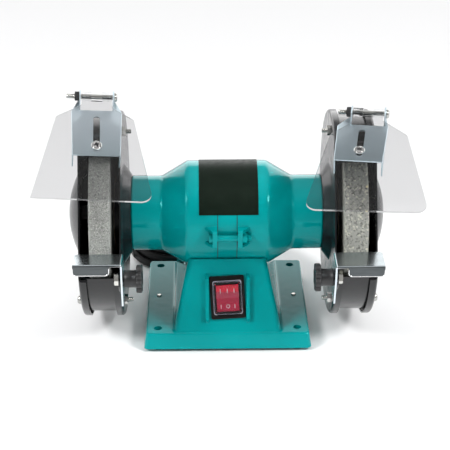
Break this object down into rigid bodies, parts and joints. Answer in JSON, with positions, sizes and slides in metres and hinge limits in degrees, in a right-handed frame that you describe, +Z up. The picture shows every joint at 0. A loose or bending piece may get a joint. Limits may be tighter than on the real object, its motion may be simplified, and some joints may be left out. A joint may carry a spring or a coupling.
{
  "type": "bench grinder",
  "caption": "Bench grinder: painted motor on a four-hole base, spindle with abrasive wheels in sheet guards, clear eye shields, spark deflectors, tool rests with star knobs and a rocker switch.",
  "frame": {"origin": "centre of the four base bolt holes, on the bench surface under the rubber feet", "axes": "+X along the spindle to the right-hand wheel, +Y to the back, away from the operator, +Z up"},
  "size_m": [0.2856, 0.2906, 0.2009],
  "materials": {
    "teal_paint": "gloss enamel",
    "black_sheet": "gloss black enamel on sheet steel",
    "zinc_steel": "bright zinc plate",
    "black_hardware": "black oxide",
    "black_plastic": "moulded, satin",
    "clear_sheet": "clear moulded plastic",
    "red_plastic": "moulded, gloss",
    "abrasive_fine": "vitrified abrasive grain, fine",
    "abrasive_coarse": "vitrified abrasive grain, coarse",
    "paper_disc": "blotting paper",
    "rubber": "matt black",
    "bearing_steel": "ground",
    "lamination": "stacked electrical steel",
    "copper": "enamelled copper wire",
    "aluminium": "die cast",
    "brass": "plain"
  },
  "bodies": {
    "base": {"base_shell": "teal_paint", "bottom_plate": "black_sheet", "bottom_plate_rivets": "zinc_steel", "rubber_feet": "rubber", "switch_housing": "black_plastic", "switch_boot": "clear_sheet", "switch_terminals": "brass", "run_capacitor": "aluminium", "capacitor_clamp": "zinc_steel", "terminal_block": "black_plastic", "cord_strain_relief": "black_plastic", "mains_cord": "rubber", "mains_cord_coil": "rubber", "mains_plug": "black_plastic", "plug_pins": "brass", "end_bell_left": "teal_paint", "end_bell_right": "teal_paint", "stator_core": "lamination", "stator_windings": "copper", "tie_bolts": "zinc_steel", "tie_bolt_nuts": "zinc_steel", "bearing_outer_races": "bearing_steel", "bearing_balls": "bearing_steel", "bearing_wave_washer": "bearing_steel", "motor_mount_bolts": "zinc_steel", "rating_plate": "black_plastic", "guard_inner_left": "black_sheet", "guard_inner_right": "black_sheet", "guard_band_left": "black_sheet", "guard_band_right": "black_sheet", "guard_cover_left": "black_sheet", "guard_cover_right": "black_sheet", "guard_mount_screws": "zinc_steel", "guard_bolts": "zinc_steel", "guard_nuts": "zinc_steel", "arrestor_screws": "zinc_steel", "tool_rest_bolts": "zinc_steel"},
    "spindle": {"spindle_shaft": "bearing_steel", "rotor_core": "lamination", "rotor_end_rings": "aluminium", "bearing_inner_races": "bearing_steel", "inner_flanges": "zinc_steel", "outer_flanges": "zinc_steel", "wheel_left": "abrasive_fine", "wheel_right": "abrasive_coarse", "wheel_blotters": "paper_disc", "wheel_nuts": "zinc_steel"},
    "rocker": {"switch_rocker": "red_plastic"},
    "deflector_left": {"spark_arrestor_left": "zinc_steel", "hinge_bolt_left": "zinc_steel", "hinge_nut_left": "black_hardware"},
    "shield_left": {"eye_shield_left": "clear_sheet"},
    "rest_left": {"tool_rest_left": "zinc_steel"},
    "knob_left": {"knob_left": "black_plastic"},
    "deflector_right": {"spark_arrestor_right": "zinc_steel", "hinge_bolt_right": "zinc_steel", "hinge_nut_right": "black_hardware"},
    "shield_right": {"eye_shield_right": "clear_sheet"},
    "rest_right": {"tool_rest_right": "zinc_steel"},
    "knob_right": {"knob_right": "black_plastic"}
  },
  "joints": [
    {"name": "spindle_spin", "type": "hinge", "parent": "base", "child": "spindle", "pos_m": [0, 0, 0.094], "axis": [1, 0, 0], "continuous": true},
    {"name": "left_deflector_slide", "type": "slide", "parent": "base", "child": "deflector_left", "axis": [0.0375, -0.9108, -0.4112], "range_m": [0, 0.022]},
    {"name": "left_shield_hinge", "type": "hinge", "parent": "deflector_left", "child": "shield_left", "pos_m": [-0.10145, 0.00097, 0.19485], "axis": [-0.9943, -0.0753, 0.0761], "range_deg": [-6, 100]},
    {"name": "left_rest_slide", "type": "slide", "parent": "base", "child": "rest_left", "axis": [0, -0.9914, 0.1305], "range_m": [-0.002, 0.008]},
    {"name": "left_knob_turn", "type": "hinge", "parent": "base", "child": "knob_left", "pos_m": [-0.0727, -0.088, 0.0815], "axis": [1, 0, 0], "continuous": true},
    {"name": "right_deflector_slide", "type": "slide", "parent": "base", "child": "deflector_right", "axis": [-0.1709, -0.9619, -0.2133], "range_m": [-0.002, 0.016]},
    {"name": "right_shield_hinge", "type": "hinge", "parent": "deflector_right", "child": "shield_right", "pos_m": [0.1108, -0.0097, 0.18415], "axis": [-0.9841, 0.1773, -0.0111], "range_deg": [0, 100]},
    {"name": "right_rest_slide", "type": "slide", "parent": "base", "child": "rest_right", "axis": [0, -1, 0], "range_m": [-0.0035, 0.008]},
    {"name": "right_knob_turn", "type": "hinge", "parent": "base", "child": "knob_right", "pos_m": [0.0727, -0.088, 0.0815], "axis": [1, 0, 0], "continuous": true},
    {"name": "switch_rock", "type": "hinge", "parent": "base", "child": "rocker", "pos_m": [0, -0.04473, 0.04056], "axis": [-0.9986, -0.0204, -0.0482], "range_deg": [0, 12]}
  ]
}
